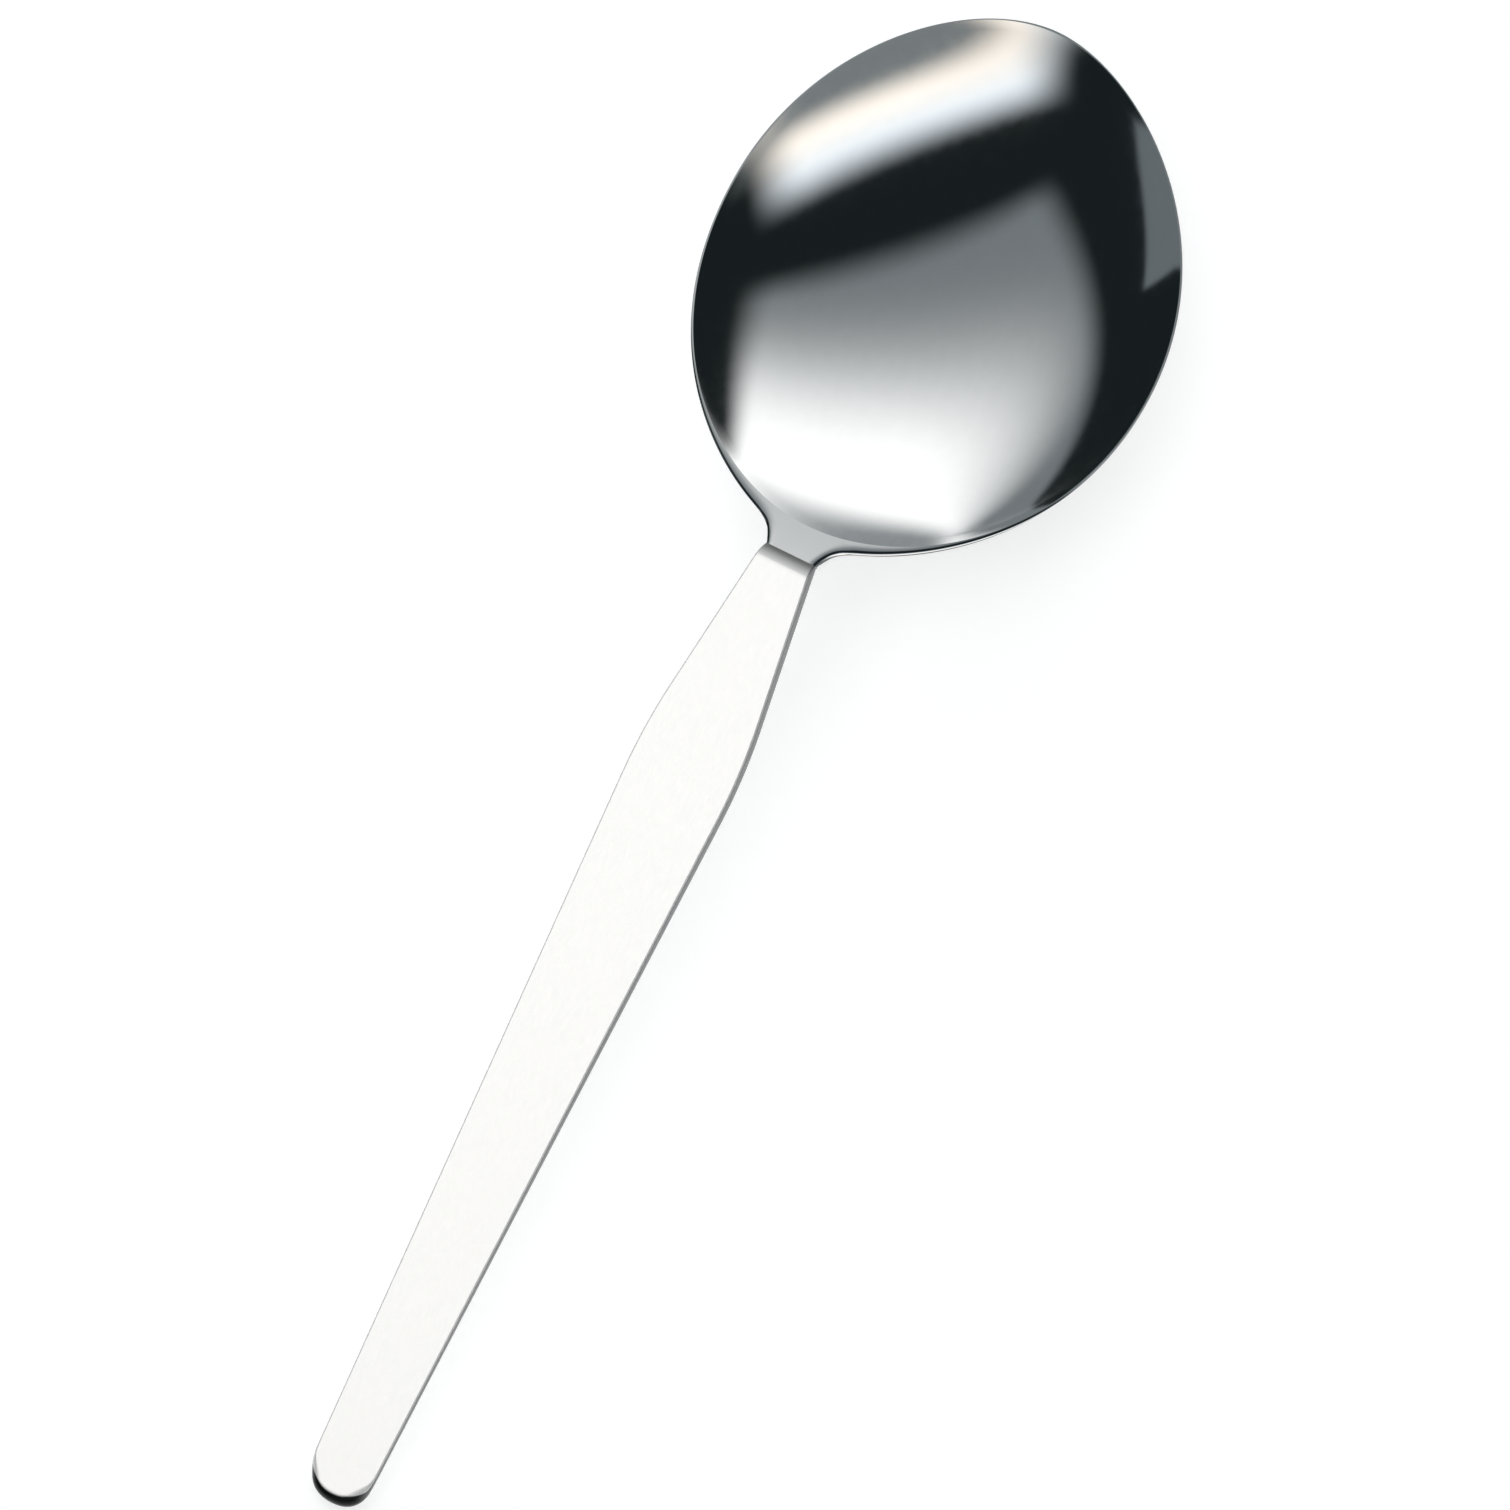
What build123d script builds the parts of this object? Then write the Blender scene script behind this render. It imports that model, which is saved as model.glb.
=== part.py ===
"""Soup spoon: a dished bowl with a tang, held in a slot in a flat tapered handle.

The spoon lies as it rests on a table. +Y runs from the handle's end to the bowl's tip, X = 0 is the mirror
plane, +Z is up, and the origin is on the table at half the spoon's length. Stations are measured along Y from
the handle's end, heights from the table. All sizes are in millimetres.
"""
from build123d import *
import math
import os

# Overall
overall_length = 170.0

# Bowl in plan: a rear and a tip quarter curve on each side, which meet at the widest station
bowl_width = 51.2
bowl_widest_station = 140.8
bowl_rear_station = 110.7
rear_end_fullness = 0.31
rear_side_fullness = 0.68
tip_end_fullness = 0.40
tip_side_fullness = 0.61
neck_fillet = 4.2

# Bowl seen from the side
neck_station = 109.0
tongue_length = 3.5
tongue_height = 13.4
tip_height = 15.9
bowl_depth = 9.0
sheet_thickness = 1.5
rim_flat = 0.7

# Nose of the punch that dishes the bowl: part of an ellipse, carried along the bowl's keel
punch_half_width = 30.0
punch_arc_half_angle = 70.0
keel_shares = (0.4, 0.6, 0.8)
run_out = 6.0

# Handle
neck_width = 5.9
handle_wide_width = 12.0
handle_wide_station = 86.3
handle_wide_radius = 64.0
handle_end_width = 7.1
handle_end_length = 5.1
handle_end_fullness = 0.62
handle_neck_thickness = 2.9
handle_end_thickness = 2.0
handle_edge_round = 0.5
shoulder_step = 0.9
shoulder_run = 1.6
shoulder_radius = 2.2

# Tang and its slot
tang_width = 3.4
tang_thickness = 0.8
tang_length = 9.0
tang_root = 0.5
braze_gap = 0.05

# Sizes worked out from those above
bowl_half_width = bowl_width / 2
hollow_half_width = bowl_half_width - rim_flat
rim_low_height = bowl_depth + sheet_thickness
punch_nose_height = bowl_depth / (1 - math.sqrt(1 - (hollow_half_width / punch_half_width) ** 2))
cutter_height = bowl_depth + tip_height + tongue_height


def along(station):
    """Y of a station."""
    return station - overall_length / 2


neck_y = along(neck_station)
rear_y = along(bowl_rear_station)
widest_y = along(bowl_widest_station)
tip_y = along(overall_length)
handle_end_y = along(0)

# Rim line, seen from the side: an arc from the tongue, through the low side of the rim, to the tip
rim_line = ThreePointArc((neck_y, tongue_height), (widest_y, rim_low_height), (tip_y, tip_height))
rim_radius = rim_line.radius
rim_centre = rim_line.arc_center

# Right-hand half of the bowl's outline
rear_quarter = Bezier(
    (0, rear_y),
    (rear_end_fullness * bowl_half_width, rear_y),
    (bowl_half_width, widest_y - rear_side_fullness * (widest_y - rear_y)),
    (bowl_half_width, widest_y),
)
tip_quarter = Bezier(
    (bowl_half_width, widest_y),
    (bowl_half_width, widest_y + tip_side_fullness * (tip_y - widest_y)),
    (tip_end_fullness * bowl_half_width, tip_y),
    (0, tip_y),
)


def rim_at(y):
    """Height of the rim line at a given Y."""
    return rim_centre.Y - math.sqrt(rim_radius**2 - (y - rim_centre.X) ** 2)


def keel_at(edge_point):
    """Point of the hollow's keel that brings its edge one rim flat inside a point of the bowl's outline."""
    reach = (edge_point.X - rim_flat) / punch_half_width
    depth = punch_nose_height * (1 - math.sqrt(1 - reach**2))
    return Vector(0, edge_point.Y, rim_at(edge_point.Y) - depth)


def extended(end, neighbour):
    """Point past the end of a keel, in line with its last two points."""
    return end + (end - neighbour).normalized() * run_out


def with_mirror(curve):
    """A curve of the right-hand side and its mirror image on the left."""
    return [curve, mirror(curve, about=Plane.YZ)]


# Keel of the hollow, from its rear edge on the tongue to its edge behind the tip
hollow_rear = Vector(0, neck_y + tongue_length, rim_at(neck_y + tongue_length))
hollow_tip = Vector(0, tip_y - rim_flat, rim_at(tip_y - rim_flat))
keel = [hollow_rear]
keel += [keel_at(rear_quarter @ share) for share in keel_shares]
keel += [keel_at(tip_quarter @ 0)]
keel += [keel_at(tip_quarter @ (1 - share)) for share in reversed(keel_shares)]
keel += [hollow_tip]


def nose_sweep(points):
    """Solid above the elliptical nose, carried along a keel without turning."""
    turn = math.radians(punch_arc_half_angle)
    side_x = punch_half_width * math.sin(turn)
    side_z = punch_nose_height * (1 - math.cos(turn))
    nose = EllipticalCenterArc(
        (0, punch_nose_height),
        punch_half_width,
        punch_nose_height,
        start_angle=270 - punch_arc_half_angle,
        arc_size=2 * punch_arc_half_angle,
    )
    sides = Polyline((side_x, side_z), (side_x, cutter_height), (-side_x, cutter_height), (-side_x, side_z))
    section_face = make_face(Plane.XZ * (Curve() + nose + sides))
    return sweep(Pos(points[0]) * section_face, Spline(points), normal=(0, 1, 0))


def bowl_blank():
    """The bowl's outline with its tongue, standing up to the rim line."""
    egg = make_face(with_mirror(rear_quarter) + with_mirror(tip_quarter))
    overlap = neck_fillet + run_out
    tongue = Pos(0, neck_y) * Rectangle(neck_width, 2 * overlap)
    outline = egg + tongue
    neck_corners = outline.vertices().filter_by(lambda v: neck_y - run_out < v.Y < neck_y + run_out)
    outline = fillet(neck_corners, neck_fillet)
    behind_neck = Pos(0, neck_y - overlap) * Rectangle(bowl_width, 2 * overlap)
    outline -= behind_neck
    above_rim = Pos(0, rim_centre.X, rim_centre.Y) * Rot(0, 90, 0) * Cylinder(rim_radius, 2 * bowl_width)
    return Pos(0, 0, -sheet_thickness) * extrude(outline, cutter_height) - above_rim


def make_bowl():
    """Blank dished between punch and die, so that the wall thins towards the rim, with a tang at its neck."""
    punch = [extended(keel[0], keel[1])] + keel + [extended(keel[-1], keel[-2])]
    drop = Vector(0, 0, sheet_thickness)
    tongue_start = Vector(0, neck_y - run_out, rim_at(neck_y - run_out))
    tongue_end = Vector(0, neck_y, rim_at(neck_y))
    die = [point - drop for point in [tongue_start, tongue_end] + punch[1:]]
    dished = bowl_blank() & (nose_sweep(die) - nose_sweep(punch))
    return dished + tang_bar(0)


def handle_outline():
    """Handle in plan: rounded end, slow taper out to the widest station, quick taper in to the neck."""
    flank_slope = (handle_wide_width - handle_end_width) / 2 / handle_wide_station
    end_corner_x = handle_end_width / 2 + flank_slope * handle_end_length
    end_corner_y = handle_end_y + handle_end_length
    pull = handle_end_fullness
    end_curve = Bezier(
        (0, handle_end_y),
        (pull * end_corner_x, handle_end_y),
        (end_corner_x - flank_slope * pull * handle_end_length, end_corner_y - pull * handle_end_length),
        (end_corner_x, end_corner_y),
    )
    wide_y = along(handle_wide_station)
    neck_slope = (handle_wide_width - neck_width) / 2 / (neck_y - wide_y)
    nose_x = neck_width / 2 - neck_slope * run_out
    flank = Polyline(
        (end_corner_x, end_corner_y),
        (handle_wide_width / 2, wide_y),
        (nose_x, neck_y + run_out),
        (0, neck_y + run_out),
    )
    outline = make_face(with_mirror(end_curve) + with_mirror(flank))
    wide_corners = outline.vertices().filter_by(lambda v: abs(v.Y - wide_y) < handle_end_length)
    return fillet(wide_corners, handle_wide_radius)


# Handle seen from the side. The rounded edge of its end touches the table, so its square corner lies below it.
shoulder_top = tongue_height + shoulder_step
neck_underside = shoulder_top - handle_neck_thickness
rough_slope = neck_underside / neck_station
end_height = -handle_edge_round * (rough_slope + math.hypot(1, rough_slope) - 1)
underside_slope = (neck_underside - end_height) / neck_station
topside_slope = (shoulder_top - end_height - handle_end_thickness) / (neck_station - shoulder_run)


def side_line(height, slope):
    """Ends of a straight line seen from the side, run on past both ends of the handle."""
    back = (handle_end_y - run_out, height - slope * run_out)
    front = (neck_y + run_out, height + slope * (neck_station + run_out))
    return back, front


def handle_profile():
    """Side view of the handle, which is straight and grows thicker towards the neck."""
    low_back, low_front = side_line(end_height, underside_slope)
    top_back, top_front = side_line(end_height + handle_end_thickness, topside_slope)
    return make_face(Plane.YZ * Polyline(low_back, low_front, top_front, top_back, close=True))


def neck_cutter():
    """Side view of what is cut off in front: down a rounded shoulder, then down the face that meets the bowl."""
    brow = (neck_y - shoulder_run, shoulder_top)
    toe = (neck_y, tongue_height)
    shoulder = RadiusArc(brow, toe, shoulder_radius)
    clear_of_nose = neck_y + 2 * run_out
    rest = Polyline(
        toe,
        (neck_y, 0),
        (clear_of_nose, 0),
        (clear_of_nose, cutter_height),
        (neck_y - shoulder_run, cutter_height),
        brow,
    )
    return make_face(Plane.YZ * (Curve() + shoulder + rest))


def tang_bar(gap):
    """Bar in line with the handle's neck, from inside the tongue to the tang's end, with a gap all round it."""
    length = tang_root + tang_length
    bar = Box(tang_width + 2 * gap, length + 2 * gap, tang_thickness + 2 * gap)
    lean = math.degrees(math.atan(underside_slope))
    place = Pos(0, neck_y, tongue_height - sheet_thickness / 2) * Rot(lean, 0, 0)
    return place * Pos(0, tang_root - length / 2) * bar


def make_handle():
    """Outline in plan cut to the side view, with rounded edges, a shoulder and a slot for the tang."""
    side_view = extrude(handle_profile(), handle_wide_width, both=True)
    plan = Pos(0, 0, -sheet_thickness) * extrude(handle_outline(), cutter_height)
    bar = plan & side_view
    square_edges = bar.edges().filter_by(Axis.X) + bar.edges().filter_by(Axis.Z)
    bar = fillet(bar.edges() - square_edges, handle_edge_round)
    return bar - extrude(neck_cutter(), handle_wide_width, both=True) - tang_bar(braze_gap)


bowl = make_bowl()
handle = make_handle()

# The keel is lowest a little behind the widest station, so both pieces are lifted until it touches the table
lift = Pos(0, 0, -bowl.bounding_box().min.Z)

os.makedirs("parts", exist_ok=True)
export_step(lift * bowl, "parts/bowl.step")
export_step(lift * handle, "parts/handle.step")
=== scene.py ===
# %% [markdown]
# # A soup spoon
# The spoon has two pieces: a mirror-polished bowl with a tang, and a satin handle with a slot that holds the tang.
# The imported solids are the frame. Every piece below is modelled at the same place, at finer detail.

# %% The frame and its box
import math

import bmesh
import bpy
import numpy as np
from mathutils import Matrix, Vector
from mathutils.kdtree import KDTree


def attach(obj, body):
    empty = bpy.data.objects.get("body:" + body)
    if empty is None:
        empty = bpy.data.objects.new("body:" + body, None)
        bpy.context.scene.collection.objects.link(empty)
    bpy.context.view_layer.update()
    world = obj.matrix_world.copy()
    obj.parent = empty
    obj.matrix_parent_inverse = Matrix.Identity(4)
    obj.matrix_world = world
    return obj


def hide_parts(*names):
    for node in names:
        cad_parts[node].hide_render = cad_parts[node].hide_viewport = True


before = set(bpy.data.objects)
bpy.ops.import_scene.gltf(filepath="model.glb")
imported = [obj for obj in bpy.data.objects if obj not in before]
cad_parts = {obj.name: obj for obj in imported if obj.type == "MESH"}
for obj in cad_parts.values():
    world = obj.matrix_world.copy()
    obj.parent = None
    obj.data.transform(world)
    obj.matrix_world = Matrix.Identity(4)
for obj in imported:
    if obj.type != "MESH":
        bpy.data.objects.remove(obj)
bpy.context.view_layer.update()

mm = 0.001

# %% [markdown]
# ## Camera
# The spoon is seen from above, a little from its right side, with the handle running to the lower left. A long lens
# from 0.8 m keeps the outlines nearly parallel, as in a catalogue picture. The camera's turn and target were found by
# fitting the outline of the solids to the outline in the picture.

# %% Camera
camera_target = Vector((4.852, 4.171, 7.0)) * mm
camera_distance = 800 * mm
camera_turn = (math.radians(11.121), math.radians(12.118), math.radians(28.321))

bpy.ops.object.select_all(action="DESELECT")
bpy.ops.object.camera_add(location=camera_target, rotation=camera_turn)
camera = bpy.context.object
camera.name = "camera"
camera.location += camera.rotation_euler.to_matrix() @ Vector((0, 0, camera_distance))
camera.data.sensor_width = 36
camera.data.lens = 183.32
camera.data.clip_end = 20
bpy.context.scene.camera = camera
print("camera at", [round(c, 4) for c in camera.location])

# %% [markdown]
# ## Helpers for modelling by hand in code
# Operators act on what is selected, so each helper first clears the selection. Vertices, edges and faces are picked
# by a test of their place or direction.

# %% Selecting
def take(piece):
    """Select one object alone and make it active."""
    bpy.ops.object.select_all(action="DESELECT")
    piece.select_set(True)
    bpy.context.view_layer.objects.active = piece


def edit(piece):
    """Open an object in edit mode."""
    take(piece)
    bpy.ops.object.mode_set(mode="EDIT")


def done():
    """Leave edit mode."""
    bpy.ops.object.mode_set(mode="OBJECT")


def pick(piece, kind, test):
    """In edit mode, select the vertices, edges or faces that pass a test, and say how many did."""
    bpy.ops.mesh.select_mode(type=kind)
    bpy.ops.mesh.select_all(action="DESELECT")
    mesh = bmesh.from_edit_mesh(piece.data)
    elements = {"VERT": mesh.verts, "EDGE": mesh.edges, "FACE": mesh.faces}[kind]
    chosen = [element for element in elements if test(element)]
    for element in chosen:
        element.select_set(True)
    mesh.select_flush_mode()
    bmesh.update_edit_mesh(piece.data)
    return len(chosen)


def finish_modifier(piece, kind, **settings):
    """Add a modifier and apply it."""
    take(piece)
    modifier = piece.modifiers.new(kind.lower(), kind)
    for name, value in settings.items():
        setattr(modifier, name, value)
    bpy.ops.object.modifier_apply(modifier=modifier.name)


# %% [markdown]
# ## Bowl: the outline
# Seen from above the bowl is a slightly pointed egg. Its outline is a closed curve of four Bezier points: the rear,
# both sides and the tip. A curve keeps it smooth with few numbers. It is then made a mesh loop.

# %% Sizes of the bowl
bowl_half_width = 25.6 * mm
rear_y = 25.7 * mm
widest_y = 55.8 * mm
tip_y = 85.0 * mm
neck_y = 24.0 * mm
rear_end_fullness, rear_side_fullness = 0.31, 0.68
tip_end_fullness, tip_side_fullness = 0.40, 0.61
ring_steps = 24
print("bowl", 2 * bowl_half_width / mm, "mm wide")


# %% Outline curve
def outline_loop(name, places, steps):
    """A closed Bezier outline made a mesh loop. Each place is a handle, a point and a handle."""
    bpy.ops.object.select_all(action="DESELECT")
    bpy.ops.curve.primitive_bezier_circle_add(radius=1)
    loop = bpy.context.object
    loop.name = name
    spline = loop.data.splines[0]
    spline.bezier_points.add(len(places) - len(spline.bezier_points))
    for point, place in zip(spline.bezier_points, places):
        point.handle_left_type = point.handle_right_type = "FREE"
        point.handle_left, point.co, point.handle_right = (p.to_3d() for p in place)
    spline.resolution_u = loop.data.resolution_u = steps
    bpy.ops.object.convert(target="MESH")
    return loop


def mirrored(places):
    """The same places on the other side of the mirror plane, in the opposite order."""
    return [tuple(Vector((-p.x, p.y)) for p in reversed(place)) for place in reversed(places)]


rear_pull = Vector((bowl_half_width * rear_end_fullness, rear_y))
tip_pull = Vector((bowl_half_width * tip_end_fullness, tip_y))
side = Vector((bowl_half_width, widest_y))
side_low = side - Vector((0, rear_side_fullness * (widest_y - rear_y)))
side_high = side + Vector((0, tip_side_fullness * (tip_y - widest_y)))
right_place = [(side_high, side, side_low)]
rear_place = (rear_pull, Vector((0, rear_y)), Vector((-rear_pull.x, rear_y)))
tip_place = (Vector((-tip_pull.x, tip_y)), Vector((0, tip_y)), tip_pull)
bowl = outline_loop("bowl_pressed", right_place + [rear_place] + mirrored(right_place) + [tip_place], ring_steps)
print("outline loop of", len(bowl.data.vertices), "points")

# %% [markdown]
# ## The press tools
# The real bowl is pressed from sheet between a punch and a die. The punch's nose is part of an ellipse that is
# carried along the keel of the hollow. The same is done here: a half-ellipse line is extruded along the keel into a
# sheet. Three such sheets (punch, die and rim) later shape the bowl, and are then deleted. The punch comes out at
# the rim a little inside the outline all the way round, and that gives the keel its height at every place. The
# die's keel is read from the underside of the solid bowl.

# %% Nose, rim and keels
hollow_rear_y = 27.5 * mm
sheet_thickness = 1.5 * mm
bowl_depth = 9.0 * mm
rim_flat = 0.25 * mm
rear_rim_extra = 0.6 * mm
rear_rim_from_y = 45.0 * mm
punch_half_width = 80.0 * mm
die_half_width = 30.0 * mm
die_nose_height = 20.351 * mm
rim_radius = 112.89 * mm
rim_centre_y = 50.05 * mm
rim_centre_z = 123.284 * mm
full_rim_y = neck_y + 3 * mm
punch_degree, die_degree = 7, 9
rear_start, tip_start = 0.7 * bowl_half_width, 0.5 * bowl_half_width
end_weight = 3
die_from_y, die_to_y = neck_y + 0.4 * mm, tip_y - 1.0 * mm
die_samples, hollow_samples = 120, 90
off_mirror_plane = 0.01 * mm

bowl_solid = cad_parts["bowl"]


def ellipse_rise(x, half_width):
    """How far an ellipse of unit height has risen at a distance from its lowest point."""
    return 1 - math.sqrt(1 - (x / half_width) ** 2)


punch_nose_height = bowl_depth / ellipse_rise(bowl_half_width - rim_flat, punch_half_width)


def rim_height(y):
    """Height of the rim, which is part of a large circle seen from the side."""
    return rim_centre_z - math.sqrt(rim_radius**2 - (y - rim_centre_y) ** 2)


def punch_rise(x):
    """How far the punch's nose rises at a distance from the mirror plane."""
    return punch_nose_height * ellipse_rise(x, punch_half_width)


def neck_share(y):
    """1 at the neck, and 0 from where the rim has its even width."""
    return min(max((rear_rim_from_y - y) / (rear_rim_from_y - full_rim_y), 0), 1)


def rim_flat_at(y):
    """Width of the flat rim, which grows towards the neck."""
    return rim_flat + rear_rim_extra * neck_share(y)


def punch_line():
    """Keel of the punch: at the rim behind the tongue and at the tip, and set by the outline between them."""
    edge = [v.co for v in bowl.data.vertices if v.co.x > (rear_start if v.co.y < widest_y else tip_start)]
    points = [(p.y, rim_height(p.y) - punch_rise(p.x - rim_flat_at(p.y))) for p in edge]
    ends = [(y, rim_height(y)) for y in (hollow_rear_y, tip_y - rim_flat)]
    return np.polynomial.Chebyshev.fit(*zip(*(points + end_weight * ends)), punch_degree)


def die_line():
    """Keel of the die, read from below the solid bowl along its mirror plane."""
    places = np.linspace(die_from_y, die_to_y, die_samples)
    hits = [bowl_solid.ray_cast(Vector((off_mirror_plane, y, -1)), Vector((0, 0, 1))) for y in places]
    return np.polynomial.Chebyshev.fit(places, [point.z for _, point, _, _ in hits], die_degree)


punch_keel = punch_line()
die_keel = die_line()
hollow_places = np.linspace(hollow_rear_y, tip_y, hollow_samples)
print("hollow's lowest point", round(min(punch_keel(hollow_places)) / mm, 2), "mm")
print("thinnest on the keel", round(min(punch_keel(hollow_places) - die_keel(hollow_places)) / mm, 2), "mm")

# %% Punch, die and rim sheets
past = 1.5 * mm
sheet_reach = bowl_half_width + past
keel_steps = 60
punch_steps, die_steps = 960, 360


def swept_sheet(name, half_width, nose_height, keel, first_y, nose_steps):
    """A half-ellipse line carried along a keel by extruding it step by step."""
    bpy.ops.object.select_all(action="DESELECT")
    bpy.ops.mesh.primitive_circle_add(vertices=nose_steps, radius=half_width, rotation=(math.pi / 2, 0, 0))
    sheet = bpy.context.object
    sheet.name = name
    bpy.ops.object.transform_apply(rotation=True)
    edit(sheet)
    bpy.ops.transform.resize(value=(1, 1, nose_height / half_width))
    pick(sheet, "VERT", lambda v: v.co.z > 0 or abs(v.co.x) > sheet_reach)
    bpy.ops.mesh.delete(type="VERT")
    bpy.ops.mesh.select_all(action="SELECT")
    places = np.linspace(first_y, tip_y + past, keel_steps)
    bpy.ops.transform.translate(value=(0, places[0], keel(places[0]) + nose_height))
    bpy.ops.mesh.select_mode(type="EDGE")
    for before, after in zip(places, places[1:]):
        move = (0, after - before, keel(after) - keel(before))
        bpy.ops.mesh.extrude_edges_move(TRANSFORM_OT_translate={"value": move})
    done()
    finish_modifier(sheet, "SUBSURF", levels=2, render_levels=2)
    return sheet


def flat_sheet(name, profile, half_width):
    """A line along X carried along a side-view profile by extruding it step by step."""
    bpy.ops.object.select_all(action="DESELECT")
    bpy.ops.mesh.primitive_plane_add(size=2 * half_width)
    sheet = bpy.context.object
    sheet.name = name
    edit(sheet)
    pick(sheet, "VERT", lambda v: v.co.y > 0)
    bpy.ops.mesh.delete(type="VERT")
    bpy.ops.mesh.select_all(action="SELECT")
    first_y, first_z = profile[0]
    bpy.ops.transform.translate(value=(0, first_y + half_width, first_z))
    bpy.ops.mesh.select_mode(type="EDGE")
    for (y0, z0), (y1, z1) in zip(profile, profile[1:]):
        bpy.ops.mesh.extrude_edges_move(TRANSFORM_OT_translate={"value": (0, y1 - y0, z1 - z0)})
    done()
    return sheet


punch_sheet = swept_sheet(
    "punch_sheet", punch_half_width, punch_nose_height, punch_keel, hollow_rear_y - past, punch_steps
)
die_sheet = swept_sheet("die_sheet", die_half_width, die_nose_height, die_keel, neck_y - past, die_steps)
rim_profile = [(y, rim_height(y)) for y in np.linspace(neck_y - past, tip_y + past, 2 * keel_steps)]
rim_sheet = flat_sheet("rim_sheet", rim_profile, sheet_reach)
print("press tools:", [len(s.data.polygons) for s in (punch_sheet, die_sheet, rim_sheet)], "faces")

# %% [markdown]
# ## Bowl: the flat blank
# The outline loop is extruded inwards, ring by ring: first to the line where the punch meets the rim, then on to the
# middle, which is filled with a grid, so that no pole shows in the mirror finish. The tongue is extruded out of the
# rear edge in rows that narrow to the neck.

# %% Rim ring and inner rings
hollow_middle = Vector((0, 57 * mm, 0))
halvings = 40
ring_shares = (0.94, 0.85, 0.74, 0.62, 0.50)


def above_rim(place):
    """How far the punch is above the rim at a place."""
    return punch_keel(place.y) + punch_rise(place.x) - rim_height(place.y)


def crease_point(edge_point):
    """Where the punch meets the rim, on the way from a point of the outline to the middle of the hollow."""
    near, far = 0.0, 0.5
    for _ in range(halvings):
        share = (near + far) / 2
        above = above_rim(edge_point.lerp(hollow_middle, share)) > 0
        near, far = (share, far) if above else (near, share)
    return edge_point.lerp(hollow_middle, near)


edit(bowl)
bpy.ops.mesh.select_all(action="SELECT")
bpy.ops.mesh.select_mode(type="EDGE")
bpy.ops.mesh.extrude_edges_move(TRANSFORM_OT_translate={"value": (0, 0, 0)})
mesh = bmesh.from_edit_mesh(bowl.data)
for vert in [v for v in mesh.verts if v.select]:
    vert.co = crease_point(vert.co)
bmesh.update_edit_mesh(bowl.data)
share_before = 1
for share in ring_shares:
    bpy.ops.mesh.extrude_edges_move(TRANSFORM_OT_translate={"value": (0, 0, 0)})
    ratio = share / share_before
    bpy.ops.transform.resize(value=(ratio, ratio, 1), center_override=hollow_middle)
    share_before = share
bpy.ops.mesh.fill_grid(span=ring_steps)
done()
print("blank before its tongue:", len(bowl.data.polygons), "faces")

# %% Tongue rows
tongue_reach = 6.1 * mm
row_half_widths = (5.98, 4.80, 4.05, 3.48, 3.09)
row_middles = (25.70, 25.45, 25.10, 24.60, 24.00)
row_bows = (1.27, 0.95, 0.66, 0.36, 0.0)


def face_up(piece):
    """Make the normals of a flat mesh agree, and turn them upwards."""
    edit(piece)
    bpy.ops.mesh.select_all(action="SELECT")
    bpy.ops.mesh.normals_make_consistent(inside=False)
    done()
    if piece.data.polygons[0].normal.z < 0:
        edit(piece)
        bpy.ops.mesh.select_all(action="SELECT")
        bpy.ops.mesh.flip_normals()
        done()


edit(bowl)
rear_edges = pick(
    bowl, "EDGE", lambda e: e.is_boundary and all(abs(v.co.x) < tongue_reach and v.co.y < widest_y for v in e.verts)
)
for row in range(1, len(row_middles)):
    bpy.ops.mesh.extrude_edges_move(TRANSFORM_OT_translate={"value": (0, 0, 0)})
    narrower = row_half_widths[row] / row_half_widths[row - 1]
    flatter = row_bows[row] / row_bows[row - 1]
    pivot = Vector((0, row_middles[row - 1] * mm, 0))
    bpy.ops.transform.resize(value=(narrower, flatter, 1), center_override=pivot)
    bpy.ops.transform.translate(value=(0, (row_middles[row] - row_middles[row - 1]) * mm, 0))
done()
face_up(bowl)
print("tongue from", rear_edges, "edges,", len(bowl.data.polygons), "faces in the blank")

# %% [markdown]
# The hollow of a pressed spoon starts at a crisp line. The edges of the blank that lie on that line get a full crease,
# so that subdividing the blank won't round it off, and their points are kept in a group.

# %% Crease
crease_accuracy = 0.001 * mm


def on_crease_line(place):
    """True for a point where the punch meets the rim."""
    return place.y > hollow_rear_y - past and abs(above_rim(place)) < crease_accuracy


crease_points = [v.index for v in bowl.data.vertices if on_crease_line(v.co)]
bowl.vertex_groups.new(name="crease").add(crease_points, 1, "REPLACE")
edit(bowl)
crease_edges = pick(bowl, "EDGE", lambda e: all(on_crease_line(v.co) for v in e.verts))
bpy.ops.transform.edge_crease(value=1)
done()
print("crease of", crease_edges, "edges")

# %% [markdown]
# ## Bowl: pressing
# The blank is subdivided, with a crease along the line where the punch stops, so that line stays in place. It gets
# its thickness, and then both faces are projected along Z: the upper face to the rim and from there down to the punch
# where the punch is lower, the lower face to the die. That is how the press works too.

# %% Thickness and pressing
full_weight = 0.999
search_from = 1.03


def thicken(piece, thickness):
    """Give a flat mesh its thickness, with a vertex group for its lower and its upper face."""
    piece.vertex_groups.new(name="lower")
    finish_modifier(piece, "SOLIDIFY", thickness=thickness, offset=-1, shell_vertex_group="lower")
    lower_index = piece.vertex_groups["lower"].index
    upper = [v.index for v in piece.data.vertices if all(g.group != lower_index for g in v.groups)]
    piece.vertex_groups.new(name="upper").add(upper, 1, "REPLACE")


def press(piece, sheet, face, up=True, down=True):
    """Move one face of a piece along Z until it lies on a sheet."""
    finish_modifier(
        piece, "SHRINKWRAP", target=sheet, vertex_group=face, wrap_method="PROJECT", use_project_z=True,
        use_positive_direction=up, use_negative_direction=down,
    )


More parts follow.
